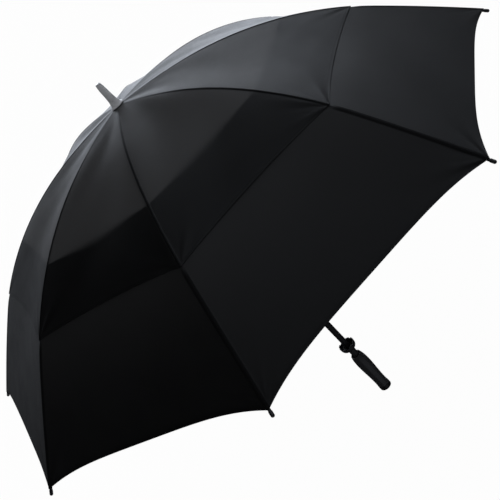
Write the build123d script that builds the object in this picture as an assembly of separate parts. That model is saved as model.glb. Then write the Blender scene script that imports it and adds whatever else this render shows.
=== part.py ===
"""Vented double-canopy golf umbrella, open, standing on the end of its handle.

Millimetres, +Z up the shaft, origin at the middle of the handle's lower end.
The eight ribs stand at 0, 45 ... 315 degrees about Z, the first one along +X.
Every rib set (inner rib, outer rib, stretcher and the two canopy sectors that
the rib carries) is modelled once along +X and copied round the shaft.
"""
import os
from math import atan, atan2, cos, degrees, hypot, radians, sin, tan

from build123d import *

# ---------------------------------------------------------------- overall
RIBS = 8
STEP_DEG = 360 / RIBS          # angle from rib to rib
HALF = radians(STEP_DEG / 2)   # rib to the middle of its panel
OVERALL_Z = 968.5              # tip of the ferrule above the handle's lower end
FERRULE_RISE = 57.0            # tip of the ferrule above the canopy's apex
APEX_Z = OVERALL_Z - FERRULE_RISE

# ---------------------------------------------------------------- clearances
GLUED = 0.02                   # radial clearance of parts that never move
RUNNING = 0.05                 # radial clearance of pivots and of the runner
SIDE = 0.2                     # clearance on each side of a tongue in its slot
SOFT = 0.3                     # least clearance round the fabric

# ---------------------------------------------------------------- shaft
SHAFT_R = 7.0
SHAFT_WALL = 0.9
SHAFT_LOW_Z = 20.0
SHAFT_TOP_Z = APEX_Z + 12.0

# ---------------------------------------------------------------- rib line
# The middle line of an open rib: three arcs, each tangent to the last.
PIVOT_R = SHAFT_R + 5.0        # pivots stand this far from the shaft's axis
NOTCH_Z = APEX_Z - 4.6         # height of the rib pivots
ROOT_SLOPE = radians(2.8)      # downward slope where the rib starts
ARC_LENGTHS = (150.0, 370.0, 230.0)
ARC_RADII = (1062.0, 692.0, 4139.0)
TIP_S = 738.3                  # rib length from its pivot to the tip's end

# ---------------------------------------------------------------- rib parts
ROD_R = 1.8                    # inner rib and stretcher rods
ROD_START = 0.5                # inner rod's start, inside its eye
OUTER_R = 1.7                  # outer rib rod and its ball end
EYE_R = 2.8
EYE_W = 4.0
WIRE_R = 0.6                   # ring wires through the eyes
SLOT_W = EYE_W + 2 * SIDE
PIVOT_S = 345.0                # station of the stretcher pivot on the rib
PIVOT_DROP = 8.0               # stretcher pivot below the rib's middle line
BRACKET_L = 10.0
BRACKET_T = 1.0
RIVET_R = 1.2
TRIM_UP = 1.85                 # brackets stand no higher than this on a rib
FLEX_S = PIVOT_S + PIVOT_DROP  # station where the outer rib starts to bend
SLEEVE_R = 3.1
SLEEVE_L = 9.0
MOUTH_L = 1.6                  # sleeve past the joint, flared inside
MOUTH_IN = 1.3                 # where the flare starts before the joint
MOUTH_STEP = 0.4               # its start is this much narrower than the socket
MOUTH_FLARE = 1.2              # growth of its radius to the sleeve's end
ROD_IN = 3.0                   # rod end before the joint
TIP_CAP_R = 3.2
TIP_CAP_L = 15.0
TIP_CAP_STEP = 0.6             # the cap's shank is this much thinner
TIP_CAP_CLEAR = 1.5            # shank between the fabric's corner and the barrel
TIP_CAP_SINK = 2.0             # the rod reaches this far into the cap
TIE_R = 0.6                    # ties that hold the fabric on the ribs
TIE_SINK = 0.4
TIE_SHARES = (0.25, 0.5, 0.75)  # of the inner rib's length
TIE_OUTER_SHARES = (0.56, 0.68, 0.8)  # of the whole rib's length
TIE_LAST = 8.0                 # last tie before the canopy's corner

# ---------------------------------------------------------------- canopy
FABRIC_T = 0.7
MAIN_LIFT = 3.0                # underside of the main canopy above the rib line
CAP_LIFT = MAIN_LIFT + FABRIC_T + 0.35
MAIN_FROM_S = 337.6            # edge of the vent hole in the main canopy
CAP_TO_S = 471.4               # hem of the vent canopy on the rib
CAP_FROM_S = 0.8
CORNER_S = 726.9               # corner of the main canopy at the tip
RIM_SCALLOP = 20.0             # how far the rim is cut in at mid panel
CAP_SCALLOP = 11.0
HOLE_SAG = 15.0                # hang of the main canopy at the vent hole
CAP_SAG = 4.0                  # further hang of the vent canopy half way to its hem
SECTIONS = (0.0, 0.35, 0.7, 0.88)  # shares of the way from mid panel to rib

# ---------------------------------------------------------------- hubs
HUB_R = PIVOT_R + 5.0
HUB_CORE_R = PIVOT_R - EYE_R - 0.6
NOTCH_HUB_LOW = 11.4           # below the rib pivots
NOTCH_HUB_HIGH = 3.4
RUNNER_HIGH = 4.0              # flange above the stretcher pivots
RUNNER_LOW = 7.0
RUNNER_SLEEVE_R = SHAFT_R + 3.0
RUNNER_SLEEVE_L = 38.0
BOSS_R = RUNNER_SLEEVE_R + 4.0
BOSS_W = 13.0
BOSS_FROM, BOSS_TO = -32.0, -10.0  # about the stretcher pivots' height
BUTTON_W = 7.0
BUTTON_H = 12.0
BUTTON_OUT_R = BOSS_R + 2.0
BUTTON_FLANGE = 1.0
BUTTON_FLANGE_T = 1.0
BUTTON_FIT = 0.1
BUTTON_TRAVEL = 2.0
BUTTON_DEG = STEP_DEG / 2
STOP_R = 1.25
STOP_REACH = 2.4

# ---------------------------------------------------------------- handle
END_CAP_R = 14.2
END_CAP_H = 12.0
GRIP_TOP_Z = 121.5
GRIP_PROFILE = (               # height, mean radius of the eight-sided grip
    (END_CAP_H, 13.8), (24.0, 13.5), (34.0, 13.6), (45.0, 14.0), (56.0, 14.5),
    (67.0, 15.1), (78.0, 15.7), (89.0, 15.9), (100.0, 15.6), (110.5, 14.8),
    (116.0, 13.9), (GRIP_TOP_Z, 12.5),
)
RECESS_Z = 114.5
NECK_R = SHAFT_R + 1.1
RECESS_R = NECK_R + 2.8
CUP_LOW_Z = 141.5
CUP_RIM_Z = 159.5
CUP_R = 19.2
CUP_WALL = 1.8
CUP_FLOOR_Z = 146.5
CUP_NOTCH_W = 6.0
CUP_NOTCH_H = 2.4

# ---------------------------------------------------------------- ferrule
FERRULE_Z = APEX_Z + 0.6       # underside of the ferrule's flange
FERRULE_PROFILE = (            # height above the flange, radius
    (0.0, 14.0), (1.4, 13.8), (3.2, 12.2), (6.5, 10.6), (11.0, 9.3),
    (18.0, 8.2), (32.0, 7.4), (53.0, 5.6),
)
WASHER_R = 10.6


# ================================================================ the rib line
def rib_line(s):
    """Distance from the axis, height and downward slope at arc length s."""
    r, z, slope, left = PIVOT_R, NOTCH_Z, ROOT_SLOPE, s
    for length, radius in zip(ARC_LENGTHS, ARC_RADII):
        run = min(left, length)
        turned = slope + run / radius
        r += radius * (sin(turned) - sin(slope))
        z -= radius * (cos(slope) - cos(turned))
        slope = turned
        left -= run
    return r, z, slope


def on_rib(s, lift=0.0):
    """Point in the rib's own plane, lifted square to the rib line."""
    r, z, slope = rib_line(s)
    return Vector(r + lift * sin(slope), 0, z + lift * cos(slope))


def along_rib(s):
    """Direction of the rib line at arc length s, towards the tip."""
    slope = rib_line(s)[2]
    return Vector(cos(slope), 0, -sin(slope))


def rib_path(start, end):
    """The rib line between two stations as true arcs."""
    stations = [start]
    total = 0.0
    for length in ARC_LENGTHS:
        total += length
        if start < total < end:
            stations.append(total)
    stations.append(end)
    arcs = []
    for a, b in zip(stations, stations[1:]):
        arcs.append(ThreePointArc(on_rib(a), on_rib((a + b) / 2), on_rib(b)))
    return Wire(arcs)


def station_plane(s, lift=0.0):
    """Plane across the rib: local X along +Y, local Y away from the shaft's
    side of the rib, normal along the rib."""
    return Plane(on_rib(s, lift), x_dir=(0, 1, 0), z_dir=along_rib(s))


PIVOT = on_rib(PIVOT_S, -PIVOT_DROP)
NOTCH = Vector(PIVOT_R, 0, NOTCH_Z)
LINK_L = hypot(PIVOT.X - NOTCH.X, PIVOT.Z - NOTCH.Z)
RUNNER_Z = 2 * PIVOT.Z - NOTCH_Z   # stretchers are as long as notch to pivot


# ================================================================ small helpers
def across(point, radius, width):
    """Cylinder along Y, centred on a point of the rib's plane."""
    place = Plane(point, x_dir=(1, 0, 0), z_dir=(0, 1, 0))
    return place * Cylinder(radius, width)


def bar(start, end, radius):
    """Round bar between two points."""
    run = end - start
    place = Plane(start, z_dir=run)
    low = (Align.CENTER, Align.CENTER, Align.MIN)
    return place * Cylinder(radius, run.length, align=low)


def post(radius, low, high):
    """Cylinder on the shaft's axis between two heights."""
    low_align = (Align.CENTER, Align.CENTER, Align.MIN)
    return Pos(0, 0, low) * Cylinder(radius, high - low, align=low_align)


def smooth_turned(points):
    """Solid of revolution about Z with a smooth curve through (height, radius)
    points, closed along the axis."""
    curve = Spline(*[(r, z) for z, r in points])
    low, high = points[0], points[-1]
    ends = Polyline((high[1], high[0]), (0, high[0]), (0, low[0]), (low[1], low[0]))
    face = make_face(Plane.XZ * (curve + ends))
    return revolve(face, Axis.Z)


def ring_wire(z, radius):
    """Ring bent from wire in as many straight runs as there are ribs, each run
    square to its rib and PIVOT_R from the axis."""
    length = 2 * PIVOT_R * tan(HALF)
    ring = None
    for i in range(RIBS):
        run = Pos(PIVOT_R, 0, z) * Rot(90, 0, 0) * Cylinder(radius, length)
        corner = Pos(PIVOT_R, length / 2, z) * Sphere(radius)
        piece = Rot(0, 0, i * STEP_DEG) * (run + corner)
        ring = piece if ring is None else ring + piece
    return ring


def rib_slots(z_low, z_high):
    """Radial slots for the eyes, open at the hub's rim."""
    slots = None
    for i in range(RIBS):
        size = (HUB_R + 2 - HUB_CORE_R, SLOT_W, z_high - z_low)
        start = (Align.MIN, Align.CENTER, Align.MIN)
        box = Rot(0, 0, i * STEP_DEG) * Pos(HUB_CORE_R, 0, z_low) * Box(*size, align=start)
        slots = box if slots is None else slots + box
    return slots


# ================================================================ rib set
def rib_inner():
    """Inner rib: eye, rod, stretcher bracket with its rivet, flex sleeve."""
    eye = across(NOTCH, EYE_R, EYE_W)
    start = station_plane(ROD_START) * Circle(ROD_R)
    rod = sweep(start, path=rib_path(ROD_START, FLEX_S - ROD_IN))
    saddle = station_plane(PIVOT_S) * Pos(0, -0.5, 0) * Box(SLOT_W + 2 * BRACKET_T, 4.9, BRACKET_L)
    body = eye + rod + saddle
    for side in (-1, 1):
        y = side * (SLOT_W + BRACKET_T) / 2
        top = on_rib(PIVOT_S) + Vector(0, y, 0)
        low = PIVOT + Vector(0, y, 0)
        body += across(low, EYE_R, BRACKET_T)
        middle = (top + low) * 0.5
        plate = Plane(middle, x_dir=(0, 1, 0), z_dir=along_rib(PIVOT_S))
        body += plate * Box(BRACKET_T, PIVOT_DROP, 2 * EYE_R)
    body += across(PIVOT, RIVET_R, SLOT_W + 2 * BRACKET_T + 1.0)
    sleeve = station_plane(FLEX_S + MOUTH_L) * Cylinder(
        SLEEVE_R, SLEEVE_L, align=(Align.CENTER, Align.CENTER, Align.MAX)
    )
    trim = station_plane(FLEX_S, TRIM_UP) * Box(
        20, 10, 4 * SLEEVE_L, align=(Align.CENTER, Align.MIN, Align.CENTER)
    )
    body += sleeve - trim
    socket_r = OUTER_R + RUNNING
    low = (Align.CENTER, Align.CENTER, Align.MIN)
    socket = station_plane(FLEX_S - socket_r) * Cylinder(socket_r, socket_r, align=low)
    flare_l = MOUTH_IN + 1.1 * MOUTH_L
    flare_r = socket_r - MOUTH_STEP
    mouth = station_plane(FLEX_S - MOUTH_IN) * Cone(
        flare_r, flare_r + MOUTH_FLARE, flare_l, align=low
    )
    body -= socket + mouth
    body -= across(NOTCH, WIRE_R + RUNNING, 2 * EYE_W)
    for share in TIE_SHARES:
        body += stitch(share * FLEX_S, ROD_R - TIE_SINK, CAP_LIFT)
    return body


def rib_outer():
    """Outer rib: ball end, rod that bends with the rib line, tip cap."""
    start = station_plane(FLEX_S) * Circle(OUTER_R)
    rod = sweep(start, path=rib_path(FLEX_S, TIP_S - TIP_CAP_L + TIP_CAP_SINK))
    ball = Pos(*on_rib(FLEX_S)) * Sphere(OUTER_R)
    cap_end = on_rib(TIP_S - TIP_CAP_R)
    cap = bar(on_rib(TIP_S - TIP_CAP_L), cap_end, TIP_CAP_R - TIP_CAP_STEP)
    barrel = bar(on_rib(CORNER_S + TIP_CAP_CLEAR), cap_end, TIP_CAP_R)
    barrel += Pos(*cap_end) * Sphere(TIP_CAP_R)
    body = rod + ball + cap + barrel
    for s in (*(share * TIP_S for share in TIE_OUTER_SHARES), CORNER_S - TIE_LAST):
        body += stitch(s, OUTER_R - TIE_SINK, MAIN_LIFT)
    return body


def stitch(s, low, lift):
    """Tie that holds the fabric on the rib: a pin with a round end that just
    reaches the crease of the fabric's underside."""
    slope = rib_line(s)[2]
    fall = atan(tan(HALF) * sin(slope))
    top = lift - TIE_R / cos(fall) - 0.01
    shank = bar(on_rib(s, low), on_rib(s, top), 0.85 * TIE_R)
    return shank + Pos(*on_rib(s, top)) * Sphere(TIE_R)


def stretcher():
    """Stretcher from the runner's ring to the rib's bracket, open position."""
    foot = Vector(PIVOT_R, 0, RUNNER_Z)
    body = across(foot, EYE_R, EYE_W) + across(PIVOT, EYE_R, EYE_W)
    body += bar(foot, PIVOT, ROD_R)
    body -= across(foot, WIRE_R + RUNNING, 2 * EYE_W)
    body -= across(PIVOT, RIVET_R + RUNNING, 2 * EYE_W)
    return body


# ================================================================ canopy
def panel_wire(share, side, s_from, s_to, lift, sag_at, stations):
    """Outline of the fabric cut by an upright plane through the axis.

    share is 0 at mid panel and 1 on the rib. The fabric runs straight across
    from rib to rib, so its distance from the axis is the rib's, times
    cos(HALF) over the cosine of the angle from mid panel, less its hang.
    """
    from_mid = atan(share * tan(HALF))
    azimuth = side * (HALF - from_mid)
    shrink = cos(HALF) / cos(from_mid)
    hang = (1 - share ** 2) ** 2
    gap = Vector(-sin(azimuth), cos(azimuth), 0) * (-side * SOFT / 2 * (1 - share))
    edges = []
    for extra in (FABRIC_T, 0.0):
        points = []
        for k in range(stations + 1):
            s = s_from + (s_to - s_from) * k / stations
            r, z, slope = rib_line(s)
            up = lift + extra - sag_at(s) * hang
            r = (r + up * sin(slope)) * shrink
            z = z + up * cos(slope)
            points.append(Vector(r * cos(azimuth), r * sin(azimuth), z) + gap)
        edges.append(points)
    upper, lower = edges
    lower.reverse()
    return Wire([
        Spline(*upper), Line(upper[-1], lower[0]),
        Spline(*lower), Line(lower[-1], upper[0]),
    ])


def sector(s_from, hem_s, scallop, power, lift, sag_at, stations):
    """One rib's share of a canopy, half a panel on either side of the rib."""
    rows = [(share, -1) for share in SECTIONS] + [(1.0, 1)]
    rows += [(share, 1) for share in reversed(SECTIONS)]
    wires = []
    for share, side in rows:
        s_to = hem_s - scallop * (1 - share ** power)
        wires.append(panel_wire(share, side, s_from, s_to, lift, sag_at, stations))
    return Solid.make_loft(wires, ruled=True)


def main_sag(s):
    """Hang of the main canopy, largest at the vent hole and none at the rim."""
    left = (CORNER_S - s) / (CORNER_S - MAIN_FROM_S)
    return HOLE_SAG * left ** 2


def cap_sag(s):
    """Hang of the vent canopy: none at the crown, the main canopy's at its hem."""
    share = (s - CAP_FROM_S) / (CAP_TO_S - CAP_FROM_S)
    return main_sag(CAP_TO_S) * share ** 3 + CAP_SAG * 4 * share * (1 - share)


def main_canopy():
    return sector(MAIN_FROM_S, CORNER_S, RIM_SCALLOP, 4, MAIN_LIFT, main_sag, 9)


def vent_canopy():
    return sector(CAP_FROM_S, CAP_TO_S, CAP_SCALLOP, 2, CAP_LIFT, cap_sag, 9)


# ================================================================ shaft parts
def shaft():
    """Steel tube with the cross hole of the runner stop."""
    tube = post(SHAFT_R, SHAFT_LOW_Z, SHAFT_TOP_Z)
    tube -= post(SHAFT_R - SHAFT_WALL, SHAFT_LOW_Z - 1, SHAFT_TOP_Z + 1)
    return tube - stop_bar(STOP_R + GLUED, 4 * SHAFT_R)


def stop_bar(radius, length):
    height = RUNNER_Z + RUNNER_HIGH + 0.3 + STOP_R
    return Rot(0, 0, BUTTON_DEG) * Pos(0, 0, height) * Rot(0, 90, 0) * Cylinder(radius, length)


def runner_stop():
    """Pin through the shaft that the open runner stops under."""
    return stop_bar(STOP_R, 2 * (SHAFT_R + STOP_REACH))


def top_notch():
    """Crown hub: the rib eyes turn in its slots on the notch ring."""
    low, high = NOTCH_Z - NOTCH_HUB_LOW, NOTCH_Z + NOTCH_HUB_HIGH
    body = post(HUB_R, low, high)
    body = chamfer(body.edges().group_by(Axis.Z)[0], 1.2)
    body -= rib_slots(low - 1, high + 1)
    body -= post(SHAFT_R + GLUED, low - 1, high + 1)
    return body - ring_wire(NOTCH_Z, WIRE_R + GLUED)


def notch_ring():
    return ring_wire(NOTCH_Z, WIRE_R)


def crown_washer():
    """Washer between the hub and the ferrule, inside the canopy's eyelet."""
    low = NOTCH_Z + NOTCH_HUB_HIGH
    return post(WASHER_R, low, FERRULE_Z) - post(SHAFT_R + GLUED, low - 1, FERRULE_Z + 1)


def ferrule():
    """Moulded ferrule: flange, bell and a tapering spike with a round end."""
    outline = [(FERRULE_Z + h, r) for h, r in FERRULE_PROFILE]
    body = smooth_turned(outline)
    body += post(FERRULE_PROFILE[-1][1], outline[-1][0] - 1, OVERALL_Z)
    body = fillet(body.edges().group_by(Axis.Z)[-1], 2.5)
    return body - post(SHAFT_R + GLUED, FERRULE_Z - 1, SHAFT_TOP_Z + 0.2)


# ================================================================ runner
def runner():
    """Sliding sleeve with a slotted flange and the push-button's housing."""
    low, high = RUNNER_Z - RUNNER_LOW, RUNNER_Z + RUNNER_HIGH
    flange = post(HUB_R, low, high)
    flange = chamfer(flange.edges().group_by(Axis.Z)[0], 3.0)
    body = flange + post(RUNNER_SLEEVE_R, RUNNER_Z - RUNNER_SLEEVE_L, low + 1)
    foot_z = RUNNER_Z - RUNNER_SLEEVE_L
    body += post(RUNNER_SLEEVE_R + 1.2, foot_z, foot_z + 3)
    body += housing_box(0, BOSS_R, BOSS_W, BOSS_FROM, BOSS_TO)
    body -= rib_slots(low - 1, high + 1)
    body -= post(SHAFT_R + RUNNING, foot_z - 1, high + 1)
    body -= ring_wire(RUNNER_Z, WIRE_R + GLUED)
    lip_r = BOSS_R - 0.8
    stem_w, stem_low, stem_high = BUTTON_W, *button_span(0)
    body -= housing_box(
        lip_r - 0.1, BOSS_R + 5, stem_w + 2 * BUTTON_FIT,
        stem_low - BUTTON_FIT, stem_high + BUTTON_FIT,
    )
    flange_low, flange_high = button_span(BUTTON_FLANGE)
    floor_r = lip_r - BUTTON_FIT - BUTTON_FLANGE_T - BUTTON_TRAVEL - 0.3
    body -= housing_box(
        floor_r, lip_r, BUTTON_W + 2 * (BUTTON_FLANGE + BUTTON_FIT),
        flange_low - BUTTON_FIT, flange_high + BUTTON_FIT,
    )
    return body


def button_span(extra):
    """Lower and upper end of the button about the pivots' height."""
    middle = (BOSS_FROM + BOSS_TO) / 2
    return middle - BUTTON_H / 2 - extra, middle + BUTTON_H / 2 + extra


def housing_box(r_from, r_to, width, low, high):
    """Box on the button's side of the runner, between two radii."""
    size = (r_to - r_from, width, high - low)
    start = (Align.MIN, Align.CENTER, Align.MIN)
    return Rot(0, 0, BUTTON_DEG) * Pos(r_from, 0, RUNNER_Z + low) * Box(*size, align=start)


def runner_ring():
    return ring_wire(RUNNER_Z, WIRE_R)


def runner_button():
    """Push-button with a flange that keeps it in its housing."""
    lip_r = BOSS_R - 0.8
    back_r = lip_r - BUTTON_FIT - BUTTON_FLANGE_T
    body = housing_box(back_r, BUTTON_OUT_R, BUTTON_W, *button_span(0))
    rim = body.edges().sort_by(lambda e: hypot(e.center().X, e.center().Y))[-4:]
    body = fillet(rim, 1.0)
    width = BUTTON_W + 2 * BUTTON_FLANGE
    return body + housing_box(back_r, lip_r - BUTTON_FIT, width, *button_span(BUTTON_FLANGE))


# ================================================================ handle
def grip_section(z, radius):
    """Eight-sided section with well rounded corners."""
    shape = RegularPolygon(radius * 1.045, RIBS)
    return Pos(0, 0, z) * fillet(shape.vertices(), radius * 0.42)


def grip():
    """Contoured grip with a bore for the shaft and a dished top."""
    body = loft([grip_section(z, r) for z, r in GRIP_PROFILE])
    body -= post(SHAFT_R + GLUED, SHAFT_LOW_Z - 0.1, GRIP_TOP_Z + 1)
    body -= post(NECK_R + GLUED, RECESS_Z, GRIP_TOP_Z + 1)
    dish = Cone(
        NECK_R + 0.4, RECESS_R, GRIP_TOP_Z - RECESS_Z,
        align=(Align.CENTER, Align.CENTER, Align.MIN),
    )
    return body - Pos(0, 0, RECESS_Z) * dish


def grip_end_cap():
    """Round end cap that the umbrella stands on; its wall goes in a holder."""
    body = post(END_CAP_R, 0, END_CAP_H)
    body = fillet(body.edges().group_by(Axis.Z)[0], 1.8)
    return chamfer(body.edges().group_by(Axis.Z)[-1], 0.4)


def handle_neck():
    """Collar round the shaft between the grip and the tip cup."""
    body = post(NECK_R, RECESS_Z, CUP_LOW_Z)
    return body - post(SHAFT_R + GLUED, RECESS_Z - 1, CUP_LOW_Z + 1)


def tip_cup():
    """Cup that the rib tips close down to, with one notch for each tip."""
    height = CUP_RIM_Z - CUP_LOW_Z
    depth = CUP_RIM_Z - CUP_FLOOR_Z
    hollow_r = CUP_R - CUP_WALL
    outside = smooth_turned((
        (CUP_LOW_Z, NECK_R + 0.6), (CUP_LOW_Z + 0.14 * height, 0.70 * CUP_R),
        (CUP_LOW_Z + 0.34 * height, 0.90 * CUP_R),
        (CUP_LOW_Z + 0.60 * height, 0.98 * CUP_R), (CUP_RIM_Z, CUP_R),
    ))
    inside = smooth_turned((
        (CUP_FLOOR_Z, 0.642 * hollow_r), (CUP_FLOOR_Z + 0.294 * depth, 0.906 * hollow_r),
        (CUP_FLOOR_Z + 0.765 * depth, hollow_r), (CUP_RIM_Z + 0.1, hollow_r + 0.3),
    ))
    body = outside - inside + post(NECK_R + 0.9, CUP_LOW_Z, CUP_FLOOR_Z + 4)
    for i in range(RIBS):
        cut = Box(8, CUP_NOTCH_W, 2 * CUP_NOTCH_H)
        body -= Rot(0, 0, i * STEP_DEG) * Pos(CUP_R, 0, CUP_RIM_Z) * cut
    return body - post(SHAFT_R + GLUED, CUP_LOW_Z - 1, CUP_RIM_Z + 1)


# ================================================================ export
def save(node, shape):
    solids = shape.solids()
    result = solids[0] if len(solids) == 1 else Compound(children=list(solids))
    result.label = node
    export_step(result, f"parts/{node}.step")


def main():
    os.makedirs("parts", exist_ok=True)
    single = {
        "shaft": shaft, "runner_stop": runner_stop, "top_notch": top_notch,
        "notch_ring": notch_ring, "crown_washer": crown_washer, "ferrule": ferrule,
        "grip": grip, "grip_end_cap": grip_end_cap, "handle_neck": handle_neck,
        "tip_cup": tip_cup, "runner": runner, "runner_ring": runner_ring,
        "runner_button": runner_button,
    }
    for node, build in single.items():
        save(node, build())
    around = {
        "rib_inner": rib_inner, "rib_outer": rib_outer, "stretcher": stretcher,
        "main_canopy": main_canopy, "vent_canopy": vent_canopy,
    }
    for name, build in around.items():
        first = build()
        for i in range(RIBS):
            save(f"{name}_{i + 1}", Rot(0, 0, i * STEP_DEG) * first)


main()
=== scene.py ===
"""Golf umbrella, open, upright on its handle: the cloth of the two canopies, the
finishes of the moulded, painted and drawn parts, and a plain studio.

All lengths are in metres in the frame of the CAD model: +Z runs up the shaft from
the lower end of the handle, and +X lies along the first rib.
"""
from math import cos, pi, radians, sin, tan

import bpy
import numpy as np
from mathutils import Matrix, Vector


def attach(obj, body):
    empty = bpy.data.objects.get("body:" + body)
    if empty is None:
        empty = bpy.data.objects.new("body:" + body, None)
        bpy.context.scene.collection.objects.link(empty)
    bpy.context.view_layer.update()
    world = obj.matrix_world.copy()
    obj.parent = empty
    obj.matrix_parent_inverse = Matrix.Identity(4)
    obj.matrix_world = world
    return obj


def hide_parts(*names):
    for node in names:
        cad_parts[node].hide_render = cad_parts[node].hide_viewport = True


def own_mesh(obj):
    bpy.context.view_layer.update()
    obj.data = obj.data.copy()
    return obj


bl_info = {
    "name": "Golf umbrella",
    "version": (1, 0, 0),
    "blender": (4, 5, 0),
    "location": "View3D > Sidebar > Umbrella",
    "description": "Cloth, finishes and studio of a vented golf umbrella",
    "category": "Object",
}

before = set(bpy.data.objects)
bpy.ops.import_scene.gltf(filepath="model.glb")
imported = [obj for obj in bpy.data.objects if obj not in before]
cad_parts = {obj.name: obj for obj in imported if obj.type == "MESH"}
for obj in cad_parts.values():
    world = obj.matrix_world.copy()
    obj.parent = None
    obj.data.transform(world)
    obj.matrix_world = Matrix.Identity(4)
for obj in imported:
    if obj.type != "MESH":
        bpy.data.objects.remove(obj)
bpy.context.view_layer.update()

# ---------------------------------------------------------------- rib line
# Repeated from the CAD source: three tangent arcs, from the rib's pivot outwards.
RIBS = 8
HALF = pi / RIBS                       # rib to the middle of its panel
APEX_Z = 0.9115
PIVOT_R, NOTCH_Z = 0.012, APEX_Z - 0.0046
ROOT_SLOPE = radians(2.8)
ARC_LENGTHS = (0.150, 0.370, 0.230)
ARC_RADII = (1.062, 0.692, 4.139)

# ---------------------------------------------------------------- cloth
CLOTH = 0.0007                         # thickness of the CAD's cloth
MAIN_LIFT, CAP_LIFT = 0.0030, 0.00405  # underside above the rib line
MAIN_FROM, MAIN_TO = 0.3376, 0.7269    # vent hole and rim, along the rib
CAP_FROM, CAP_TO = 0.0008, 0.4714
RIM_SCALLOP, CAP_SCALLOP = 0.020, 0.011
HOLE_SAG, CAP_SAG = 0.015, 0.004
STITCH = 0.003                         # length of a stitch
ROW_HALF = 0.0004                      # half the width of a row of stitches
SEAM_ROW, HEM_ROW = 0.0024, 0.0058     # rows from the middle of a seam, from an edge
LIGHT_THROUGH = 0.048                  # share of light that one layer lets through
SEAM_LAYERS, HEM_LAYERS = 2.2, 1.2     # layers that a seam and a hem add
PUCKER_AT = 0.022                      # distance of the highest pucker from a corner
CALM_R = 0.16                          # the cloth is pulled tight nearer the axis


def main_sag(s):
    """Hang of the main cloth at mid panel, largest at the vent hole."""
    return HOLE_SAG * np.clip((MAIN_TO - s) / (MAIN_TO - MAIN_FROM), 0, 1) ** 2


def vent_sag(s):
    """Hang of the vent cloth at mid panel: the main cloth's at the vent's hem."""
    share = np.clip((s - CAP_FROM) / (CAP_TO - CAP_FROM), 0, 1)
    return main_sag(CAP_TO) * share ** 3 + CAP_SAG * 4 * share * (1 - share)


# ================================================================ settings
def linear(code):
    """sRGB hex colour as linear red, green and blue."""
    parts = [int(code[i:i + 2], 16) / 255 for i in (1, 3, 5)]
    return [c / 12.92 if c <= 0.04045 else ((c + 0.055) / 1.055) ** 2.4 for c in parts]


def length(label, note, value):
    return bpy.props.FloatProperty(
        name=label, description=note, default=value, min=0, precision=5,
        subtype="DISTANCE", unit="LENGTH",
    )


def colour(label, note, code):
    return bpy.props.FloatVectorProperty(
        name=label, description=note, default=linear(code), min=0, max=1, subtype="COLOR",
    )


def amount(label, note, value):
    return bpy.props.FloatProperty(name=label, description=note, default=value, min=0)


class UmbrellaCloth(bpy.types.PropertyGroup):
    seam_width: length("Seam width", "Width of the felled seam on each rib", 0.0100)
    seam_rise: length("Seam rise", "Height of the felled seam above the cloth", 0.0007)
    hem_width: length("Hem width", "Width of the cloth turned under at each edge", 0.0070)
    fold_radius: length("Fold radius", "Bend of the cloth at the edge of a hem", 0.00025)
    pucker: length("Pucker", "Height of the small folds at the sewn corners", 0.0009)
    slack: length("Slack", "Height of the slow waves in the cloth", 0.0011)
    thread: length("Thread spacing", "Spacing of the drawn weave", 0.0012)
    cloth: colour("Cloth", "Black dyed polyester", "#060607")
    glow: colour("Light through", "Colour of the light that the cloth lets through", "#aaabae")
    sheen: colour("Sheen", "Tint of the light that grazes the fibres", "#ececf0")


class UmbrellaHardware(bpy.types.PropertyGroup):
    paint: colour("Shaft paint", "Black baked enamel on the steel tube", "#17171a")
    nylon: colour("Nylon", "Black moulded nylon of hub, runner and cup", "#141417")
    ferrule: colour("Ferrule", "Grey moulded ABS", "#b0b2b7")
    grip: colour("Grip", "Black moulded rubber", "#242427")
    cap: colour("End cap", "Black moulded ABS", "#0c0c0e")
    rod: colour("Rod", "Black pultruded glass fibre", "#15161a")
    zinc: colour("Zinc", "Zinc plated steel wire and pins", "#a5a8ad")
    button: colour("Button", "Dark grey moulded acetal", "#34353a")


class UmbrellaStudio(bpy.types.PropertyGroup):
    floor: colour("Floor", "Matt white floor", "#fbfbfb")
    key: amount("Key power", "Power of the soft light behind, in watts", 17.0)
    top: amount("Top power", "Power of the soft light overhead, in watts", 1.0)
    tip: amount("Ferrule power", "Power of the narrow light on the ferrule, in watts", 17.0)
    sky: amount("Room light", "Strength of the light from all round", 0.42)
    focal: bpy.props.FloatProperty(
        name="Focal length", description="Focal length of the camera", default=62.07,
        min=1, unit="CAMERA",
    )


# ================================================================ node helper
def add(tree, kind, inputs=None, **settings):
    """Adds a node, sets its attributes, and sets or links its inputs by name or
    number. A value that is a socket is linked, and anything else is its value."""
    made = tree.nodes.new(kind)
    for key, value in settings.items():
        setattr(made, key, value)
    for key, value in (inputs or {}).items():
        if isinstance(value, bpy.types.NodeSocket):
            tree.links.new(value, made.inputs[key])
        else:
            made.inputs[key].default_value = value
    return made


def mix_colours(tree, share, first, second):
    """Colour that goes from first to second as share goes from 0 to 1."""
    made = add(tree, "ShaderNodeMix", {0: share, 6: first, 7: second}, data_type="RGBA")
    return made.outputs[2]


def straight_view(tree, path):
    """1 for the camera's own view, also through clear surfaces, and otherwise 0."""
    return add(tree, "ShaderNodeMath", {
        0: path.outputs["Is Camera Ray"], 1: path.outputs["Is Transmission Ray"],
    }, operation="ADD", use_clamp=True).outputs[0]


def blank(name):
    """New material with an output node only; returns it and its node tree."""
    material = bpy.data.materials.new(name)
    material.use_nodes = True
    material.node_tree.nodes.clear()
    return material, material.node_tree


def rgba(rgb, gain=1.0):
    return (*(min(1.0, c * gain) for c in rgb), 1.0)


def close(tree, shader):
    add(tree, "ShaderNodeOutputMaterial", {"Surface": shader})


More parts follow.
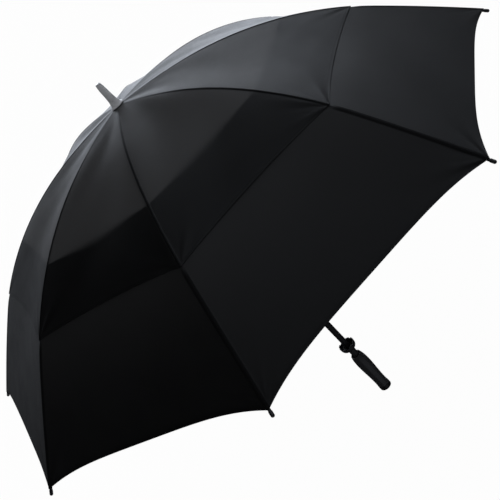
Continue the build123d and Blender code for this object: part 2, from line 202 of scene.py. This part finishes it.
# ================================================================ materials
def woven_polyester(sizes):
    """Black woven polyester, dyed, calendered and water repellent.

    The pressed face is smooth across single threads, so it mirrors a soft light as
    a broad blue grey patch and is nearly black elsewhere. A single cloth lets a
    little light through, and seams and hems, with more cloth, let through less.
    """
    material, tree = blank("woven_polyester_black")
    cloth_map = add(tree, "ShaderNodeUVMap", uv_map="cloth").outputs[0]
    apart = add(tree, "ShaderNodeSeparateXYZ", {0: cloth_map})
    layers_and_shade = add(tree, "ShaderNodeAttribute", attribute_name="layers_and_shade").outputs["Fac"]
    edge = add(tree, "ShaderNodeAttribute", attribute_name="edge").outputs["Fac"]
    seam = add(tree, "ShaderNodeAttribute", attribute_name="seam").outputs["Fac"]

    def math(operation, a, b=0.0, c=0.0):
        made = add(tree, "ShaderNodeMath", {0: a, 1: b, 2: c}, operation=operation)
        return made.outputs[0]

    # Real threads are 0.2 mm apart; drawn wider, so that a close view shows them.
    turn = 2 * pi / sizes.thread
    warp = math("SINE", math("MULTIPLY", apart.outputs[0], turn))
    weft = math("SINE", math("MULTIPLY", apart.outputs[1], turn))
    weave = math("MULTIPLY", warp, weft)
    # Slubs: threads a little thicker for 40 to 60 mm of their length.
    drawn = add(tree, "ShaderNodeMapping", {"Vector": cloth_map, "Scale": (420, 24, 1)})
    slubs = add(tree, "ShaderNodeTexNoise", {
        "Vector": drawn.outputs[0], "Scale": 1.0, "Detail": 2.0,
    }).outputs[0]
    # Handling marks and uneven pressing, 50 mm across.
    clouds = add(tree, "ShaderNodeTexNoise", {
        "Vector": cloth_map, "Scale": 20.0, "Detail": 4.0, "Roughness": 0.6,
    }).outputs[0]

    # Lockstitch, in two rows on each seam and one row on each hem.
    def stitches(along):
        """1 on the thread between two needle holes of a row, and 0 at the holes."""
        return math("GREATER_THAN", math("SINE", math("MULTIPLY", along, 2 * pi / STITCH)), -0.6)

    from_rib = math("ABSOLUTE", apart.outputs[0])
    on_seam = math("LESS_THAN", math("ABSOLUTE", math("SUBTRACT", from_rib, SEAM_ROW)), ROW_HALF)
    on_hem = math("LESS_THAN", math("ABSOLUTE", math("SUBTRACT", edge, HEM_ROW)), ROW_HALF)
    stitch = math("MAXIMUM", math("MULTIPLY", on_seam, stitches(apart.outputs[1])),
                  math("MULTIPLY", on_hem, stitches(apart.outputs[0])))

    height = math("MULTIPLY_ADD", weave, 0.35, math("MULTIPLY", slubs, 0.9))
    height = math("MULTIPLY_ADD", stitch, 1.6, height)
    bump = add(tree, "ShaderNodeBump", {
        "Strength": 0.22, "Distance": 0.0003, "Height": height,
    }).outputs[0]

    shade = add(tree, "ShaderNodeMapRange", {
        "Value": clouds, "From Min": 0.3, "From Max": 0.7, "To Min": 0.8, "To Max": 1.25,
    }).outputs[0]
    shade = math("MULTIPLY", shade, math("MULTIPLY_ADD", slubs, 0.3, 0.85))
    shade = math("MULTIPLY", shade, math("MULTIPLY_ADD", stitch, 0.8, 1.0))
    base = add(tree, "ShaderNodeMix", {0: 1.0, 6: rgba(sizes.cloth), 7: shade},
               data_type="RGBA", blend_type="MULTIPLY")
    rough = add(tree, "ShaderNodeMapRange", {
        "Value": clouds, "From Min": 0.25, "From Max": 0.75, "To Min": 0.40, "To Max": 0.48,
    }).outputs[0]
    # Stitched layers lie less flat, so seams mirror the lights less.
    rough = math("ADD", rough, math("MULTIPLY_ADD", stitch, 0.15, math("MULTIPLY", seam, 0.16)))
    mirror = math("MULTIPLY_ADD", seam, -0.3, 0.5)
    face = add(tree, "ShaderNodeBsdfPrincipled", {
        "Base Color": base.outputs[2], "Roughness": rough, "Normal": bump,
        "IOR": 1.3, "Specular IOR Level": mirror, "Specular Tint": rgba(sizes.sheen, 1.25),
        "Sheen Weight": 0.03, "Sheen Roughness": 0.4, "Sheen Tint": rgba(sizes.sheen),
    })
    through = add(tree, "ShaderNodeBsdfTranslucent", {
        "Color": rgba(sizes.glow), "Normal": bump,
    })
    # Light let through falls with the square of the cloths it passes; on the main canopy this
    # count also carries a painted shade towards the rim.
    share = math("DIVIDE", LIGHT_THROUGH, math("MULTIPLY", layers_and_shade, layers_and_shade))
    mixed = add(tree, "ShaderNodeMixShader", {
        0: share, 1: face.outputs[0], 2: through.outputs[0],
    })
    close(tree, mixed.outputs[0])
    return material


def moulded(name, rgb, grain, rough, rough_spread, bump, coat=0.0, level=0.5,
            drawn=(1, 1, 1), wear=0.35):
    """Plain moulded or coated surface with a grain.

    grain is the size of its grain in metres, rough and rough_spread its roughness
    and how far that varies, bump the depth of the grain in metres. drawn stretches
    the grain along an axis, as on a drawn or pultruded part. wear is how far the
    sharp edges are rubbed lighter.
    """
    material, tree = blank(name)
    place = add(tree, "ShaderNodeTexCoord").outputs["Object"]
    along = add(tree, "ShaderNodeMapping", {"Vector": place, "Scale": drawn}).outputs[0]
    fine = add(tree, "ShaderNodeTexNoise", {
        "Vector": along, "Scale": 1 / grain, "Detail": 3.0, "Roughness": 0.55,
    }).outputs[0]
    broad = add(tree, "ShaderNodeTexNoise", {
        "Vector": along, "Scale": 0.06 / grain, "Detail": 4.0, "Roughness": 0.6,
    }).outputs[0]
    edge = add(tree, "ShaderNodeNewGeometry").outputs["Pointiness"]
    worn = add(tree, "ShaderNodeMapRange", {
        "Value": edge, "From Min": 0.52, "From Max": 0.60, "To Min": 0.0, "To Max": wear,
    }).outputs[0]
    tint = add(tree, "ShaderNodeMapRange", {
        "Value": broad, "From Min": 0.3, "From Max": 0.7, "To Min": 0.0, "To Max": 1.0,
    }).outputs[0]
    body = mix_colours(tree, tint, rgba(rgb, 0.85), rgba(rgb, 1.18))
    rubbed = mix_colours(tree, worn, body, rgba([c * 1.8 + 0.01 for c in rgb]))
    gloss = add(tree, "ShaderNodeMapRange", {
        "Value": broad, "From Min": 0.25, "From Max": 0.75,
        "To Min": rough - rough_spread, "To Max": rough + rough_spread,
    }).outputs[0]
    relief = add(tree, "ShaderNodeBump", {
        "Strength": 0.6, "Distance": bump, "Height": fine,
    }).outputs[0]
    shader = add(tree, "ShaderNodeBsdfPrincipled", {
        "Base Color": rubbed, "Roughness": gloss, "Normal": relief,
        "Specular IOR Level": level, "Coat Weight": coat, "Coat Roughness": 0.12,
    })
    close(tree, shader.outputs[0])
    return material


def plated_steel(name, rgb, rough):
    """Zinc plated steel wire: bright, with fine draw marks and a dull bloom."""
    material, tree = blank(name)
    place = add(tree, "ShaderNodeTexCoord").outputs["Object"]
    marks = add(tree, "ShaderNodeTexNoise", {
        "Vector": place, "Scale": 2500.0, "Detail": 2.0,
    }).outputs[0]
    bloom = add(tree, "ShaderNodeTexNoise", {
        "Vector": place, "Scale": 260.0, "Detail": 3.0,
    }).outputs[0]
    body = mix_colours(tree, bloom, rgba(rgb, 0.75), rgba(rgb, 1.1))
    gloss = add(tree, "ShaderNodeMapRange", {
        "Value": bloom, "To Min": rough - 0.08, "To Max": rough + 0.12,
    }).outputs[0]
    relief = add(tree, "ShaderNodeBump", {
        "Strength": 0.4, "Distance": 0.00003, "Height": marks,
    }).outputs[0]
    shader = add(tree, "ShaderNodeBsdfPrincipled", {
        "Base Color": body, "Metallic": 1.0, "Roughness": gloss, "Normal": relief,
    })
    close(tree, shader.outputs[0])
    return material


def finish_nodes(material, *names):
    """Gives CAD nodes, by name or by the start of a numbered name, a material."""
    for name in names:
        found = [o for n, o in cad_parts.items()
                 if n == name or (n.startswith(name + "_") and n[len(name) + 1:].isdigit())]
        if not found:
            raise RuntimeError(f"no node is called {name}")
        for node in found:
            node.data.materials.clear()
            node.data.materials.append(material)


# ================================================================ cloth
def rib_line(s):
    """Distance from the axis, height and slope of the rib at arc lengths s.

    Along each arc the slope grows by the run over the radius, the distance by the
    radius times the change of the slope's sine, and the height falls by the radius
    times the change of its cosine."""
    r = np.full_like(s, PIVOT_R)
    z = np.full_like(s, NOTCH_Z)
    slope = np.full_like(s, ROOT_SLOPE)
    left = s.copy()
    for reach, radius in zip(ARC_LENGTHS, ARC_RADII):
        run = np.minimum(left, reach)
        turned = slope + run / radius
        r = r + radius * (np.sin(turned) - np.sin(slope))
        z = z - radius * (np.cos(slope) - np.cos(turned))
        slope = turned
        left = left - run
    return r, z, slope


def smooth(x):
    """Smooth step from 0 to 1 for x from 0 to 1."""
    x = np.clip(x, 0, 1)
    return x * x * (3 - 2 * x)


def puckers(across, along, seed, height):
    """Small folds that fan out from a sewn corner.

    across is the distance from the seam and along the distance back from the
    corner. The folds are two cosines of the angle about the corner, highest
    PUCKER_AT away, a tenth as high five times as far out, and none on the seam."""
    reach = np.hypot(across, along)
    angle = np.arctan2(along, across + 1e-9)
    fan = np.cos(7.0 * angle + seed) + 0.5 * np.cos(12.0 * angle + 2.1 * seed)
    fade = (reach / PUCKER_AT) * np.exp(1 - reach / PUCKER_AT)
    return height * 0.6 * fan * fade * smooth(across / 0.010)


def slow_waves(panel, q, s, height):
    """Slack of the cloth: three long sine waves across and along a panel, none on
    the ribs. panel numbers the panel, and q runs from -1 on one rib to 1 on the
    next."""
    seed = 1.7 * panel
    wave = np.sin(2.3 * q + 9.0 * s + seed) + 0.7 * np.sin(17.0 * s - 1.4 * q + 2 * seed)
    wave += 0.4 * np.sin(5.1 * q + 31.0 * s + 3 * seed)
    return height * wave * (1 - q ** 2)


def hem_rows(inward, sizes):
    """Rows of a hem as offsets along the rib and across the cloth: a half circle
    round the cloth's edge and then back under it for the hem's width."""
    radius = sizes.fold_radius
    turn = np.linspace(0, pi, 7)[1:]
    back = np.linspace(0, sizes.hem_width - radius, 4)[1:]
    along = np.concatenate([radius - radius * np.sin(turn), radius + back])
    down = np.concatenate([radius - radius * np.cos(turn), np.full(3, 2 * radius)])
    return inward * along, down


def cloth_sector(name, rib, sizes, s_from, s_to, scallop, power, lift, sag_at,
                 inner_hem, seam_width, seam_from, backing_and_shade, columns, rows):
    """Cloth from mid panel to mid panel over one rib, as a grid.

    The first parameter runs across, from -1 in the middle of one panel through 0
    on the rib to 1 in the middle of the next, finer near the rib. The second runs
    along the rib. A point stands off the rib line by the cloth's lift, less a hang
    that is largest at mid panel, plus seam, puckers and slow waves. Between the
    ribs the cloth runs straight across, so its distance from the axis is the rib's
    times the cosine of half a panel over the cosine of its angle from mid panel.
    The outer edge is curved inwards by scallop, flatter in the middle for a higher power, and has
    a hem. The inner edge has one with inner_hem. The seam starts at seam_from[0] along the rib
    and is full seam_from[1] later. backing gives the number of cloths along the rib. On the main
    canopy it also carries a painted shade that darkens the cloth towards the rim.
    layers of cloth along the rib."""
    step = np.linspace(-1, 1, 2 * columns + 1)
    w = np.sign(step) * np.abs(step) ** 1.7
    share = 1 - np.abs(w)
    from_mid = np.arctan(share * tan(HALF))
    turn = np.sign(w) * (HALF - from_mid)
    shrink = cos(HALF) / np.cos(from_mid)
    hang = (1 - share ** 2) ** 2
    end = s_to - scallop * (1 - share ** power)

    # Rows close to each edge keep the fold of its hem from bending the shading.
    near = np.array([0.0006, 0.0020]) / (s_to - s_from)
    u = np.concatenate([np.linspace(0, 1, rows), 1 - near, near])
    s = s_from + (end[None, :] - s_from) * np.sort(u)[:, None]
    down = np.zeros_like(s)
    from_edge = end[None, :] - s
    if inner_hem:
        from_edge = np.minimum(from_edge, s - s_from)
    along, drop = hem_rows(-1, sizes)
    parts_s = [s, end[None, :] + along[:, None]]
    parts_down = [down, np.repeat(drop[:, None], w.size, 1)]
    parts_edge = [from_edge, np.repeat(-along[:, None], w.size, 1)]
    if inner_hem:
        along, drop = hem_rows(1, sizes)
        parts_s.insert(0, (s_from + along[::-1, None]) + np.zeros_like(w)[None, :])
        parts_down.insert(0, np.repeat(drop[::-1, None], w.size, 1))
        parts_edge.insert(0, np.repeat(along[::-1, None], w.size, 1))
    s = np.concatenate(parts_s)
    down = np.concatenate(parts_down)
    from_edge = np.concatenate(parts_edge)

    r, z, slope = rib_line(s)
    across = r * shrink * np.sin(np.abs(turn))
    on_seam = smooth((seam_width / 2 - across) / 0.0016)
    on_seam *= smooth((s - seam_from[0]) / seam_from[1])
    on_hem = smooth((sizes.hem_width - from_edge) / 0.0015)
    panel = np.where(w >= 0, rib, rib - 1) % RIBS
    q = np.where(w >= 0, -share, share)
    relief = slow_waves(panel, q, s, sizes.slack) * smooth(r / CALM_R)
    for side in (-1, 1):
        # q is -1 on one rib of the panel and 1 on the next
        width = r * sin(HALF) * (1 - side * q)
        seed = panel * 1.3 + side + s_to * 40
        relief += puckers(width, np.abs(s - s_to), seed, sizes.pucker)
    up = lift + CLOTH / 2 - sag_at(s) * hang - down + relief
    up = up + on_seam * sizes.seam_rise
    radius = (r + up * np.sin(slope)) * shrink
    height = z + up * np.cos(slope)
    azimuth = rib * 2 * HALF + turn
    points = np.stack([radius * np.cos(azimuth), radius * np.sin(azimuth), height], -1)

    count = w.size
    index = np.arange(points.shape[0] * count).reshape(-1, count)
    quads = np.stack([index[:-1, :-1], index[1:, :-1], index[1:, 1:], index[:-1, 1:]], -1)
    mesh = bpy.data.meshes.new(name)
    mesh.from_pydata(points.reshape(-1, 3), [], quads.reshape(-1, 4))
    mesh.shade_smooth()
    cloth_map = mesh.uv_layers.new(name="cloth")
    flat = np.stack([np.sign(w) * across, s], -1).reshape(-1, 2)
    corners = quads.reshape(-1)
    cloth_map.data.foreach_set("uv", flat[corners].astype(np.float32).ravel())
    # Cloths along the rib, plus seams and hems; on the main canopy the count also holds a painted
    # shade that darkens it towards the rim.
    layers_and_shade = backing_and_shade(s) + SEAM_LAYERS * on_seam + HEM_LAYERS * on_hem
    for label, values in (("layers_and_shade", layers_and_shade), ("edge", from_edge), ("seam", on_seam)):
        made = mesh.attributes.new(label, "FLOAT", "POINT")
        made.data.foreach_set("value", values.astype(np.float32).ravel())
    cloth = bpy.data.objects.new(name, mesh)
    bpy.context.scene.collection.objects.link(cloth)
    return cloth


def flat_size(cloth):
    """Flat width, length and area of a sector, from its cloth map and its mesh."""
    mesh = cloth.data
    flat = np.empty(len(mesh.uv_layers["cloth"].data) * 2, np.float32)
    mesh.uv_layers["cloth"].data.foreach_get("uv", flat)
    flat = flat.reshape(-1, 2)
    wide, tall = flat.max(0) - flat.min(0)
    return float(wide), float(tall), float(sum(p.area for p in mesh.polygons))


def fit_cloth(cloth, body, replaced):
    """Rides one sector of cloth on its body, gives it a mesh of its own and hides the CAD node
    that it replaces. Its flat width, length and area are worked out but not used.
    """
    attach(cloth, body)
    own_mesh(cloth)
    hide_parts(replaced)
    wide, tall, area = flat_size(cloth)


class UMBRELLA_OT_main_canopy(bpy.types.Operator):
    """Main canopy: eight sectors of cloth, from the vent hole to the rim"""
    bl_idname = "umbrella.main_canopy"
    bl_label = "Main canopy"

    def execute(self, context):
        sizes = context.scene.umbrella_cloth
        cloth_material = bpy.data.materials.get("woven_polyester_black") or woven_polyester(sizes)

        def layers_with_rim_shade(s):
            """Cloths that light from behind has to pass: 2 down to the vent canopy's hem. Beyond
            it a painted shade raises this to 4 at the rim, though the cloth there is single, so
            that the cloth darkens towards the rim."""
            return 2.0 + 2.0 * smooth((s - CAP_TO) / (MAIN_TO - CAP_TO))

        for number in range(1, RIBS + 1):
            cloth = cloth_sector(
                f"main_cloth_{number}", number - 1, sizes, MAIN_FROM, MAIN_TO,
                scallop=RIM_SCALLOP, power=4, lift=MAIN_LIFT, sag_at=main_sag,
                inner_hem=True, seam_width=sizes.seam_width, seam_from=(CAP_TO, 0.02),
                backing_and_shade=layers_with_rim_shade, columns=70, rows=120,
            )
            cloth.data.materials.append(cloth_material)
            fit_cloth(cloth, f"outer_{number}",
                      f"main_canopy_{number}")
        return {"FINISHED"}


class UMBRELLA_OT_vent_canopy(bpy.types.Operator):
    """Vent canopy: eight sectors of cloth over the vent hole"""
    bl_idname = "umbrella.vent_canopy"
    bl_label = "Vent canopy"

    def execute(self, context):
        sizes = context.scene.umbrella_cloth
        cloth_material = bpy.data.materials.get("woven_polyester_black") or woven_polyester(sizes)

        for number in range(1, RIBS + 1):
            cloth = cloth_sector(
                f"vent_cloth_{number}", number - 1, sizes, CAP_FROM, CAP_TO,
                scallop=CAP_SCALLOP, power=2, lift=CAP_LIFT, sag_at=vent_sag,
                inner_hem=False, seam_width=0.6 * sizes.seam_width, seam_from=(0.0, 0.25),
                backing_and_shade=np.ones_like, columns=60, rows=130,
            )
            cloth.data.materials.append(cloth_material)
            fit_cloth(cloth, f"rib_{number}",
                      f"vent_canopy_{number}")
        return {"FINISHED"}


# ================================================================ hardware
class UMBRELLA_OT_frame_finish(bpy.types.Operator):
    """Finish of the ribs, stretchers and wire rings"""
    bl_idname = "umbrella.frame_finish"
    bl_label = "Ribs and stretchers"

    def execute(self, context):
        colours = context.scene.umbrella_hardware
        # Pultruded glass fibre: smooth resin skin with faint lengthwise streaks.
        rod = moulded("glass_fibre_pultruded", colours.rod, 0.0009, 0.30, 0.06, 0.00003,
                      wear=0)
        # Steel rod, baked enamel: a soft gloss with a slight orange peel.
        enamel = moulded("steel_baked_enamel", colours.paint, 0.0012, 0.33, 0.05, 0.00002,
                         coat=0.2, wear=0)
        wire = plated_steel("zinc_plated_wire", colours.zinc, 0.34)
        finish_nodes(rod, "rib_outer")
        finish_nodes(enamel, "rib_inner", "stretcher")
        finish_nodes(wire, "notch_ring", "runner_ring")
        return {"FINISHED"}


class UMBRELLA_OT_shaft_finish(bpy.types.Operator):
    """Finish of the shaft, its stop, the runner and its button"""
    bl_idname = "umbrella.shaft_finish"
    bl_label = "Shaft and runner"

    def execute(self, context):
        colours = context.scene.umbrella_hardware
        # Drawn steel tube under baked enamel.
        tube = moulded("steel_tube_enamel", colours.paint, 0.0014, 0.34, 0.05, 0.00002,
                       level=0.3, drawn=(1, 1, 0.12), wear=0)
        # Injection moulded nylon with a fine spark-eroded texture.
        nylon = moulded("nylon_moulded", colours.nylon, 0.0005, 0.46, 0.06, 0.00004)
        acetal = moulded("acetal_button", colours.button, 0.0005, 0.38, 0.05, 0.00003)
        pin = plated_steel("zinc_plated_pin", colours.zinc, 0.30)
        finish_nodes(tube, "shaft")
        finish_nodes(nylon, "runner")
        finish_nodes(acetal, "runner_button")
        finish_nodes(pin, "runner_stop")
        return {"FINISHED"}


class UMBRELLA_OT_crown_finish(bpy.types.Operator):
    """Finish of the crown hub, the washer and the ferrule"""
    bl_idname = "umbrella.crown_finish"
    bl_label = "Crown and ferrule"

    def execute(self, context):
        colours = context.scene.umbrella_hardware
        nylon = moulded("nylon_hub", colours.nylon, 0.0005, 0.46, 0.06, 0.00004)
        # Injection moulded ABS from a polished tool, dulled by use.
        shell = moulded("abs_ferrule", colours.ferrule, 0.0007, 0.30, 0.05, 0.00002,
                        coat=0.5, level=0.6)
        rubber = moulded("rubber_washer", colours.grip, 0.0006, 0.62, 0.06, 0.00005)
        finish_nodes(nylon, "top_notch")
        finish_nodes(shell, "ferrule")
        finish_nodes(rubber, "crown_washer")
        return {"FINISHED"}


class UMBRELLA_OT_handle_finish(bpy.types.Operator):
    """Finish of the grip, its end cap, the neck and the tip cup"""
    bl_idname = "umbrella.handle_finish"
    bl_label = "Handle"

    def execute(self, context):
        colours = context.scene.umbrella_hardware
        # Compression moulded rubber: matt, fine grained, polished where it is held.
        grip = moulded("rubber_grip", colours.grip, 0.0008, 0.36, 0.07, 0.00006, level=0.8)
        cap = moulded("abs_end_cap", colours.cap, 0.0007, 0.30, 0.05, 0.00002)
        neck = moulded("nylon_neck", colours.nylon, 0.0005, 0.42, 0.06, 0.00003)
        cup = moulded("nylon_tip_cup", colours.nylon, 0.0006, 0.40, 0.06, 0.00004)
        finish_nodes(grip, "grip")
        finish_nodes(cap, "grip_end_cap")
        finish_nodes(neck, "handle_neck")
        finish_nodes(cup, "tip_cup")
        return {"FINISHED"}


# ================================================================ studio
# Patches of the room that glossy surfaces mirror: degrees round from +X, degrees
# up, degrees from the middle to the edge, strength.
ROOM_PATCHES = (
    (90, 5, 28, 3.09), (110, 8, 16, 0.85), (130, 15, 28, 0.28), (-40, 60, 28, 0.58),
    (0, 30, 30, 0.68), (20, 60, 28, 0.09), (45, 25, 25, 0.40), (60, 45, 25, 1.80),
    (-70, -42, 38, 0.14),
)
ROOM_TINT = (0.84, 0.90, 1.0)
ROOM_LEVEL = 0.02                      # strength outside the patches
PAPER_SHARE = 0.975                    # share of even white in a view of the floor
FERRULE_Z = 0.945                      # height on the ferrule that its light meets
FLOOR_HALF, FLOOR_LINES = 30, 31       # floor from the middle to its side, grid lines
FLOOR_Z = -0.0005                      # just under the handle
# Camera: place, then degrees round from +X, degrees down and degrees of roll, because
# the umbrella leans in the view.
CAMERA_AT = (0.3678, -1.61, 1.2718)
CAMERA_HEADING, CAMERA_FALL, CAMERA_ROLL = 105.156, 22.303, 44.622


def lamp(name, data, turn, climb, distance, aim):
    """Places a lamp that looks at the axis at height aim, from turn degrees round
    from +X, climb degrees up and a distance away."""
    made = bpy.data.objects.new(name, data)
    turn, climb = radians(turn), radians(climb)
    away = Vector((cos(turn) * cos(climb), sin(turn) * cos(climb), sin(climb)))
    made.location = Vector((0, 0, aim)) + away * distance
    made.rotation_mode = "QUATERNION"
    made.rotation_quaternion = away.to_track_quat("Z", "Y")
    bpy.context.scene.collection.objects.link(made)


def soft_light(name, turn, climb, power, rgb=(1, 1, 1)):
    """Large square light, far enough away to be even over the whole canopy."""
    data = bpy.data.lights.new(name, "AREA")
    data.shape, data.size, data.energy, data.color = "SQUARE", 3.1, power, rgb
    lamp(name, data, turn, climb, distance=5.0, aim=0.75)


def narrow_light(name, turn, climb, aim, power):
    """Spot light on one small part, which leaves the rest as it is."""
    data = bpy.data.lights.new(name, "SPOT")
    data.spot_size, data.spot_blend = radians(6.0), 0.6
    data.shadow_soft_size, data.energy = 0.12, power
    lamp(name, data, turn, climb, distance=1.3, aim=aim)


def reflected_room(tree, way):
    """Brightness of the room in a direction, as glossy surfaces see it.

    Each patch is soft: full in its own direction, and none at its spread from it."""
    level = ROOM_LEVEL
    for turn, climb, spread, strength in ROOM_PATCHES:
        turn, climb = radians(turn), radians(climb)
        middle = (cos(turn) * cos(climb), sin(turn) * cos(climb), sin(climb))
        dot = add(tree, "ShaderNodeVectorMath", {0: way, 1: middle}, operation="DOT_PRODUCT")
        patch = add(tree, "ShaderNodeMapRange", {
            "Value": dot.outputs["Value"], "From Min": cos(radians(spread)), "From Max": 1.0,
            "To Min": 0.0, "To Max": strength,
        }, interpolation_type="SMOOTHSTEP")
        level = add(tree, "ShaderNodeMath", {0: level, 1: patch.outputs[0]}).outputs[0]
    return level


def white_paper(name, rgb, seen):
    """Matt white paper floor. Straight views see mostly an even white, reflections
    see the room, and the rest is lit, so that the umbrella keeps its shadow."""
    material, tree = blank(name)
    place = add(tree, "ShaderNodeTexCoord").outputs["Object"]
    grain = add(tree, "ShaderNodeTexNoise", {"Vector": place, "Scale": 90.0}).outputs[0]
    gloss = add(tree, "ShaderNodeMapRange", {
        "Value": grain, "To Min": 0.85, "To Max": 0.95,
    }).outputs[0]
    lit = add(tree, "ShaderNodeBsdfPrincipled", {
        "Base Color": rgba(rgb), "Roughness": gloss, "Specular IOR Level": 0.1,
    }).outputs[0]
    path = add(tree, "ShaderNodeLightPath")
    even = add(tree, "ShaderNodeEmission", {"Color": (1, 1, 1, 1), "Strength": 1.0}).outputs[0]
    share = add(tree, "ShaderNodeMath", {0: straight_view(tree, path), 1: seen},
                operation="MULTIPLY").outputs[0]
    mixed = add(tree, "ShaderNodeMixShader", {0: share, 1: lit, 2: even}).outputs[0]
    face = add(tree, "ShaderNodeNewGeometry")
    onward = add(tree, "ShaderNodeVectorMath", {
        0: face.outputs["Incoming"], "Scale": -1.0,
    }, operation="SCALE")
    room = add(tree, "ShaderNodeEmission", {
        "Color": (*ROOM_TINT, 1), "Strength": reflected_room(tree, onward.outputs[0]),
    }).outputs[0]
    mixed = add(tree, "ShaderNodeMixShader", {
        0: path.outputs["Is Glossy Ray"], 1: mixed, 2: room,
    }).outputs[0]
    # From below, the floor lets the view through to the umbrella.
    clear = add(tree, "ShaderNodeBsdfTransparent").outputs[0]
    under = add(tree, "ShaderNodeMath", {
        0: face.outputs["Backfacing"], 1: path.outputs["Is Camera Ray"],
    }, operation="MULTIPLY").outputs[0]
    close(tree, add(tree, "ShaderNodeMixShader", {0: under, 1: mixed, 2: clear}).outputs[0])
    return material


def studio_room(strength):
    """Room light. Straight views see white all round, reflections see the room, and
    everything else gets the same soft light from all round."""
    world = bpy.data.worlds.new("studio_room")
    world.use_nodes = True
    tree = world.node_tree
    tree.nodes.clear()
    way = add(tree, "ShaderNodeTexCoord").outputs["Generated"]
    path = add(tree, "ShaderNodeLightPath")
    glossy = path.outputs["Is Glossy Ray"]
    level = add(tree, "ShaderNodeMix", {0: glossy, 2: strength, 3: reflected_room(tree, way)})
    level = add(tree, "ShaderNodeMix", {
        0: straight_view(tree, path), 2: level.outputs[0], 3: 1.0,
    }).outputs[0]
    tint = mix_colours(tree, glossy, (1, 1, 1, 1), (*ROOM_TINT, 1))
    room = add(tree, "ShaderNodeBackground", {"Color": tint, "Strength": level})
    add(tree, "ShaderNodeOutputWorld", {"Surface": room.outputs[0]})
    return world


class UMBRELLA_OT_studio(bpy.types.Operator):
    """Studio: white floor, soft lights, room light and camera"""
    bl_idname = "umbrella.studio"
    bl_label = "Studio"

    def execute(self, context):
        settings = context.scene.umbrella_studio
        scene = context.scene
        scene.view_settings.view_transform = "Standard"
        scene.world = studio_room(settings.sky)

        side = np.linspace(-FLOOR_HALF, FLOOR_HALF, FLOOR_LINES)
        x, y = np.meshgrid(side, side)
        points = np.stack([x, y, np.full_like(x, FLOOR_Z)], -1).reshape(-1, 3)
        index = np.arange(x.size).reshape(x.shape)
        quads = np.stack([index[:-1, :-1], index[:-1, 1:], index[1:, 1:], index[1:, :-1]], -1)
        mesh = bpy.data.meshes.new("floor")
        mesh.from_pydata(points, [], quads.reshape(-1, 4))
        mesh.materials.append(white_paper("paper_matt_white", settings.floor, PAPER_SHARE))
        floor = bpy.data.objects.new("floor", mesh)
        scene.collection.objects.link(floor)

        soft_light("key_softbox", 45, 43, settings.key, ROOM_TINT)
        soft_light("top_softbox", -40, 62, settings.top)
        narrow_light("ferrule_spot", -8, -8, FERRULE_Z, settings.tip)

        lens = bpy.data.cameras.new("camera")
        lens.sensor_width, lens.lens = 36, settings.focal
        lens.shift_x, lens.shift_y = 0.10, -0.025
        lens.clip_start, lens.clip_end = 0.05, 200
        camera = bpy.data.objects.new("camera", lens)
        heading, fall = radians(CAMERA_HEADING), radians(CAMERA_FALL)
        ahead = Vector((cos(heading) * cos(fall), sin(heading) * cos(fall), -sin(fall)))
        turn = ahead.to_track_quat("-Z", "Y").to_matrix()
        turn = turn @ Matrix.Rotation(-radians(CAMERA_ROLL), 3, "Z")
        camera.matrix_world = Matrix.Translation(CAMERA_AT) @ turn.to_4x4()
        scene.collection.objects.link(camera)
        scene.camera = camera
        return {"FINISHED"}


# ================================================================ sidebar
STEPS = ("main_canopy", "vent_canopy", "frame_finish", "shaft_finish", "crown_finish",
         "handle_finish", "studio")


class UMBRELLA_PT_sidebar(bpy.types.Panel):
    """Sizes, colours and steps of the umbrella"""
    bl_label = "Umbrella"
    bl_space_type = "VIEW_3D"
    bl_region_type = "UI"
    bl_category = "Umbrella"

    def draw(self, context):
        for group in ("umbrella_cloth", "umbrella_hardware", "umbrella_studio"):
            settings = getattr(context.scene, group)
            box = self.layout.box()
            for key in settings.__annotations__:
                box.prop(settings, key)
        for step in STEPS:
            self.layout.operator(f"umbrella.{step}")


CLASSES = (
    UmbrellaCloth, UmbrellaHardware, UmbrellaStudio,
    UMBRELLA_OT_main_canopy, UMBRELLA_OT_vent_canopy, UMBRELLA_OT_frame_finish,
    UMBRELLA_OT_shaft_finish, UMBRELLA_OT_crown_finish, UMBRELLA_OT_handle_finish,
    UMBRELLA_OT_studio, UMBRELLA_PT_sidebar,
)


def register():
    for made in CLASSES:
        bpy.utils.register_class(made)
    bpy.types.Scene.umbrella_cloth = bpy.props.PointerProperty(type=UmbrellaCloth)
    bpy.types.Scene.umbrella_hardware = bpy.props.PointerProperty(type=UmbrellaHardware)
    bpy.types.Scene.umbrella_studio = bpy.props.PointerProperty(type=UmbrellaStudio)


def unregister():
    for group in ("umbrella_cloth", "umbrella_hardware", "umbrella_studio"):
        delattr(bpy.types.Scene, group)
    for made in reversed(CLASSES):
        bpy.utils.unregister_class(made)


def main():
    register()
    for step in STEPS:
        getattr(bpy.ops.umbrella, step)()


if __name__ == "__main__":
    main()
